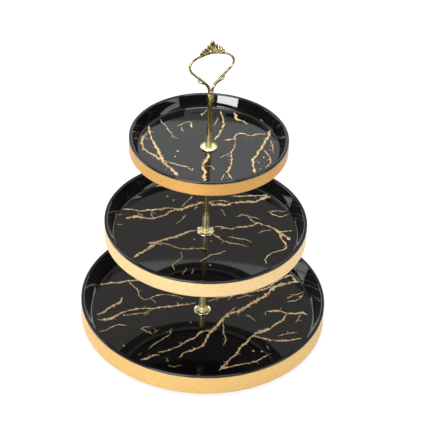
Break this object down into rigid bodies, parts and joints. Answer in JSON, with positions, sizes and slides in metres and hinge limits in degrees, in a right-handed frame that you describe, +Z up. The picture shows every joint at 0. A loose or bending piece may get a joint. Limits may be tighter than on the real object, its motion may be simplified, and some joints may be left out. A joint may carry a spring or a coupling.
{
  "type": "tiered cake stand",
  "caption": "Three dished round plates clamped one above another on a slim screwed rod, with an open crown-shaped carrying handle on top.",
  "frame": {"origin": "on the rod's axis, on the surface that the stand rests on", "axes": "+Z up along the rod, towards the handle. The handle's open loop lies in the XZ plane, so its flat side looks along Y"},
  "size_m": [0.254, 0.254, 0.3386],
  "materials": {
    "black_glaze": "high gloss black glaze with gold veins and a satin gold band round the outside",
    "gold_plate": "polished gold plating",
    "bright_steel": "bright zinc plated",
    "clear_silicone": "translucent matte silicone"
  },
  "bodies": {
    "base": {"bottom_plate": "black_glaze", "bottom_lower_gasket": "clear_silicone", "bottom_upper_gasket": "clear_silicone", "bottom_lower_washer": "gold_plate", "base_screw": "bright_steel"},
    "lower_seat": {"bottom_upper_washer": "gold_plate"},
    "lower_stem": {"lower_rod": "gold_plate", "middle_lower_washer": "gold_plate", "middle_rod_stud": "bright_steel", "middle_plate": "black_glaze", "middle_lower_gasket": "clear_silicone", "middle_upper_gasket": "clear_silicone"},
    "middle_seat": {"middle_upper_washer": "gold_plate"},
    "middle_stem": {"middle_rod": "gold_plate", "top_lower_washer": "gold_plate", "upper_rod_stud": "bright_steel", "top_plate": "black_glaze", "top_lower_gasket": "clear_silicone", "top_upper_gasket": "clear_silicone"},
    "upper_seat": {"top_upper_washer": "gold_plate"},
    "upper_stem": {"upper_rod": "gold_plate", "handle_stud": "bright_steel", "crown_handle": "gold_plate"}
  },
  "joints": [
    {"name": "lower_rod_turn", "type": "hinge", "parent": "base", "child": "lower_seat", "pos_m": [0, 0, 0.0108], "axis": [0, 0, 1], "range_deg": [0, 4320]},
    {"name": "lower_rod_rise", "type": "slide", "parent": "lower_seat", "child": "lower_stem", "axis": [0, 0, 1], "range_m": [0, 0.0084]},
    {"name": "middle_rod_turn", "type": "hinge", "parent": "lower_stem", "child": "middle_seat", "pos_m": [0, 0, 0.1149], "axis": [0, 0, 1], "range_deg": [0, 4320]},
    {"name": "middle_rod_rise", "type": "slide", "parent": "middle_seat", "child": "middle_stem", "axis": [0, 0, 1], "range_m": [0, 0.0084]},
    {"name": "upper_rod_turn", "type": "hinge", "parent": "middle_stem", "child": "upper_seat", "pos_m": [0, 0, 0.219], "axis": [0, 0, 1], "range_deg": [0, 4320]},
    {"name": "upper_rod_rise", "type": "slide", "parent": "upper_seat", "child": "upper_stem", "axis": [0, 0, 1], "range_m": [0, 0.0084]}
  ],
  "couplings": [
    {"joint": "lower_rod_rise", "follows": "lower_rod_turn", "m_per_rad": 0.0001114},
    {"joint": "middle_rod_rise", "follows": "middle_rod_turn", "m_per_rad": 0.0001114},
    {"joint": "upper_rod_rise", "follows": "upper_rod_turn", "m_per_rad": 0.0001114}
  ]
}
